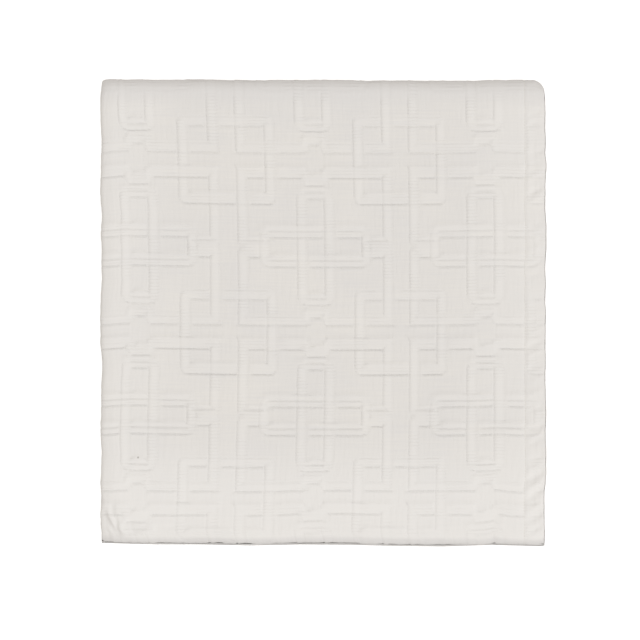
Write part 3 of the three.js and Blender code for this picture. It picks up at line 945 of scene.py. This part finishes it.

# %% Paler straps, painted light on the sides and painted shade on the folds
# The straps show more of the weft and are a little paler. The sides and the front edge are
# painted paler: painted light. The roll and the last fold are painted greyer: painted shade.
# Direction, distances from the roll's line where it starts and ends, share and colour.
PAINTED_LIGHT_AND_SHADE = [
    # Painted light: the sides and the front edge are paler
    ((1, 0, 0), 130, 250, 0.4, CLOTH_PALE_WEFT_AND_PAINTED_LIGHT),
    ((0, 1, 0), 385, 470, 0.6, CLOTH_PALE_WEFT_AND_PAINTED_LIGHT),
    # Painted shade: the last fold and the roll are greyer
    ((0, 1, 0), 511, 515, 1, CLOTH_GREY),
    ((0, 1, 0), 36, 14, 0.8, CLOTH_GREY),
]
colour_place = (*flat_spot(0, ROLL_Y), 0)
tints = [(tone, CLOTH_WARM), (floating, CLOTH_PALE_WEFT_AND_PAINTED_LIGHT)]
for picked, start, end, share, shade in PAINTED_LIGHT_AND_SHADE:
    one_way = add_node(tree, "ShaderNodeMapping", {"Vector": mm_place, "Scale": picked}).outputs[0]
    inputs = {0: one_way, 1: tuple(p * c for p, c in zip(picked, colour_place))}
    distance = add_node(
        tree, "ShaderNodeVectorMath", inputs, operation="DISTANCE"
    ).outputs["Value"]
    inputs = dict(zip(RANGE, (distance, start, end, 0.0, share)))
    shaded = add_node(
        tree, "ShaderNodeMapRange", inputs, interpolation_type="SMOOTHSTEP"
    ).outputs[0]
    tints.append((shaded, shade))

# %% A fleck in the yarn
inputs = {0: mm_place, 1: (*flat_spot(*FLECK["at"]), 0)}
fleck_from = add_node(
    tree, "ShaderNodeVectorMath", inputs, operation="DISTANCE"
).outputs["Value"]
inputs = dict(zip(RANGE, (fleck_from, FLECK["radius"], 2 * FLECK["radius"], 0.6, 0.0)))
in_fleck = add_node(tree, "ShaderNodeMapRange", inputs).outputs[0]
tints.append((in_fleck, FLECK["colour"]))

# %% The tints over one another, each by its share
colour = linear(CLOTH_GREY)
for share, tint in tints:
    inputs = {0: share, 6: colour, 7: linear(tint)}
    colour = add_node(tree, "ShaderNodeMix", inputs, data_type="RGBA").outputs[2]

# %% Shader of the cloth
shader = add_node(
    tree, "ShaderNodeBsdfPrincipled",
    {"Base Color": colour, "Roughness": 0.9, "Normal": bump, "Specular IOR Level": 0.15,
     "Sheen Weight": 0.12, "Sheen Roughness": 0.6},
)
add_node(tree, "ShaderNodeOutputMaterial", {"Surface": shader.outputs[0]})
mesh.materials.append(cotton)
print("cloth finish:", len(tree.nodes), "nodes")

# %% [markdown]
# ## Stitches of the hem
# A sewing machine leaves one stitch after another, all alike, sunk in the furrow of the
# hem. Geometry Nodes are made for this: they cut the seam's line into steps and put a copy
# of one stitch at each step, turned along the line and a little askew.

# %% The line of the seam
SEAM = {"start": 12, "end": 4, "step": 1.5, "lift": 0.12}
seam_v = np.arange(FIELD_V[0] + SEAM["start"], FIELD_V[1] - SEAM["end"], SEAM["step"])
seam_u = np.full_like(seam_v, hem_line)
seam_height, _ = face_height(seam_u, seam_v)
seam_xyz = cloth_point(seam_u, seam_v, CLOTH / 2 + seam_height + SEAM["lift"])
seam_xyz = (seam_xyz + to_stand) * MM
steps_between = [(k, k + 1) for k in range(len(seam_xyz) - 1)]
seam = add_object("seam_line", add_mesh("seam_line", seam_xyz.tolist(), steps_between, []))
print(f"seam {np.linalg.norm(np.diff(seam_xyz, axis=0), axis=1).sum() / MM:.0f} mm long")

# %% Cotton thread, twisted and a little glossier than the cloth
thread, thread_tree = new_material("twisted_cotton_thread")
place = add_node(thread_tree, "ShaderNodeTexCoord").outputs["Object"]
twist = add_node(
    thread_tree, "ShaderNodeTexNoise", {"Vector": place, "Scale": 2400.0, "Detail": 2.0}
).outputs["Fac"]
inputs = {0: twist, 6: linear("#dad6cf"), 7: linear("#e8e5e0")}
thread_colour = add_node(thread_tree, "ShaderNodeMix", inputs, data_type="RGBA").outputs[2]
thread_bump = add_node(thread_tree, "ShaderNodeBump", {"Height": twist, "Distance": 0.08 * MM})
thread_shader = add_node(
    thread_tree, "ShaderNodeBsdfPrincipled",
    {"Base Color": thread_colour, "Roughness": 0.7, "Normal": thread_bump.outputs["Normal"]},
)
add_node(thread_tree, "ShaderNodeOutputMaterial", {"Surface": thread_shader.outputs[0]})

# %% The tree that sews
sewing = bpy.data.node_groups.new("hem_stitches", "GeometryNodeTree")
face_in = sewing.interface
face_in.new_socket("Geometry", in_out="INPUT", socket_type="NodeSocketGeometry")
SEWING = {
    "Stitch pitch": 3.2 * MM, "Stitch length": 2.3 * MM, "Thread width": 0.5 * MM, "Seed": 7,
}
for name, value in SEWING.items():
    kind = "NodeSocketInt" if name == "Seed" else "NodeSocketFloat"
    face_in.new_socket(name, in_out="INPUT", socket_type=kind).default_value = value
face_in.new_socket("Geometry", in_out="OUTPUT", socket_type="NodeSocketGeometry")
given = add_node(sewing, "NodeGroupInput").outputs

line = add_node(sewing, "GeometryNodeMeshToCurve", {"Mesh": given["Geometry"]}).outputs[0]
inputs = {"Curve": line, "Length": given["Stitch pitch"]}
steps = add_node(sewing, "GeometryNodeCurveToPoints", inputs, mode="LENGTH").outputs
inputs = {"Segments": 6, "Rings": 5, "Radius": 0.5}
ball = add_node(sewing, "GeometryNodeMeshUVSphere", inputs).outputs[0]
inputs = {"Min": (0, 0, -0.12), "Max": (0, 0, 0.12), "Seed": given["Seed"]}
wobble = add_node(
    sewing, "FunctionNodeRandomValue", inputs, data_type="FLOAT_VECTOR"
).outputs["Value"]
inputs = {"Rotation": steps["Rotation"], "Rotate By": wobble}
turned = add_node(
    sewing, "FunctionNodeRotateRotation", inputs, rotation_space="LOCAL"
).outputs[0]
width, length = given["Thread width"], given["Stitch length"]
size = add_node(sewing, "ShaderNodeCombineXYZ", {"X": width, "Y": width, "Z": length}).outputs[0]
inputs = {"Points": steps["Points"], "Instance": ball, "Rotation": turned, "Scale": size}
sewn = add_node(sewing, "GeometryNodeInstanceOnPoints", inputs).outputs[0]
real = add_node(sewing, "GeometryNodeRealizeInstances", {"Geometry": sewn}).outputs[0]
smooth_stitch = add_node(sewing, "GeometryNodeSetShadeSmooth", {0: real}).outputs[0]
finished = add_node(
    sewing, "GeometryNodeSetMaterial", {"Geometry": smooth_stitch, "Material": thread}
).outputs[0]
add_node(sewing, "NodeGroupOutput", {"Geometry": finished})

modifier = seam.modifiers.new("sew", "NODES")
modifier.node_group = sewing
for item in face_in.items_tree:
    if item.name in SEWING:
        modifier[item.identifier] = SEWING[item.name]

# %% The stitches as a plain mesh
evaluated = seam.evaluated_get(bpy.context.evaluated_depsgraph_get())
stitch_mesh = bpy.data.meshes.new_from_object(evaluated)
stitch_mesh.name = "hem_stitches"
# The line itself brought an empty material slot along
stitch_mesh.materials.clear()
stitch_mesh.materials.append(thread)
stitch_mesh.polygons.foreach_set("material_index", [0] * len(stitch_mesh.polygons))
stitches = add_object("hem_stitches", stitch_mesh)
bpy.data.objects.remove(seam)
print(f"stitches: {len(stitch_mesh.polygons)} faces, materials {list(stitch_mesh.materials)}")

# %% [markdown]
# ## Floor, light and camera
# The photograph is a picture for a catalogue: a bare white ground without a shadow, and
# soft even light that comes a little from the lower right. The floor glows slightly, so
# that it stays white right up to the cloth. Most of the light is an even sky, and a sun
# with a very wide disc adds the side it comes from.

# %% White floor
def plane(name, size, height, material):
    corners = [(x * size, y * size, height) for x, y in ((-1, -1), (1, -1), (1, 1), (-1, 1))]
    made = add_mesh(name, corners, [], [(0, 1, 2, 3)])
    made.materials.append(material)
    return add_object(name, made)


ground, ground_tree = new_material("white_paper")
grain = add_node(ground_tree, "ShaderNodeTexNoise", {"Scale": 60.0}).outputs["Fac"]
inputs = {0: grain, 6: linear("#f4f4f4"), 7: linear("#f6f6f6")}
paper = add_node(ground_tree, "ShaderNodeMix", inputs, data_type="RGBA").outputs[2]
paper_shader = add_node(
    ground_tree, "ShaderNodeBsdfPrincipled",
    {"Base Color": paper, "Roughness": 1.0, "Specular IOR Level": 0.0,
     "Emission Color": linear("#ffffff"), "Emission Strength": 0.5},
)
add_node(ground_tree, "ShaderNodeOutputMaterial", {"Surface": paper_shader.outputs[0]})
STAGE_HALF = 4.0
floor = plane("floor", STAGE_HALF, 0, ground)
floor.visible_diffuse = floor.visible_glossy = False

# %% The table that the cloth's light bounces from
bench, bench_tree = new_material("grey_table")
bench_shader = add_node(
    bench_tree, "ShaderNodeBsdfPrincipled",
    {"Base Color": linear("#cfcbc6"), "Roughness": 1.0, "Specular IOR Level": 0.0},
)
add_node(bench_tree, "ShaderNodeOutputMaterial", {"Surface": bench_shader.outputs[0]})
table = plane("table", STAGE_HALF, -0.5 * MM, bench)
table.visible_camera = False

# %% Light
SUN = {"strength": 0.85, "azimuth": -32, "elevation": 44, "disc": 50, "colour": "#fafdff"}
SKY = {"strength": 0.84, "colour": "#fffcf8"}
world = bpy.data.worlds.new("soft_sky")
world.use_nodes = True
background = world.node_tree.nodes["Background"].inputs
background["Color"].default_value = linear(SKY["colour"])
background["Strength"].default_value = SKY["strength"]
bpy.context.scene.world = world
sun_data = bpy.data.lights.new("sun", "SUN")
sun_data.energy = SUN["strength"]
sun_data.angle = math.radians(SUN["disc"])
sun_data.color = linear(SUN["colour"])[:3]
sun = add_object("sun", sun_data)
sun.rotation_euler = (0, math.radians(90 - SUN["elevation"]), math.radians(SUN["azimuth"]))

# %% Camera straight above
# The photograph is 640 pixels wide, and one is 1.122 mm on the top of the throw.
FRAME_SIDE = 640 * 1.122 * MM
SENSOR = 36
DISTANCE = 3.5
PICTURE_MIDDLE = (-3.8 * MM, -7.7 * MM)
camera_data = bpy.data.cameras.new("camera")
camera_data.sensor_width = SENSOR
camera_data.lens = SENSOR * DISTANCE / FRAME_SIDE
camera = add_object("camera", camera_data)
camera.location = (*PICTURE_MIDDLE, DISTANCE + throw_box[1][2])
bpy.context.scene.camera = camera
bpy.context.scene.view_settings.view_transform = "Standard"
print(f"lens {camera_data.lens:.1f} mm")

# %% [markdown]
# ## What each piece is
# The throw is one sheet of cloth, folded, and it stands for the solid of the same shape.
# The stitches belong to it. Both go with the only body there is.

# %% Pieces
bpy.context.view_layer.update()
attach(throw, "root")
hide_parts("folded_throw")
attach(stitches, "root")
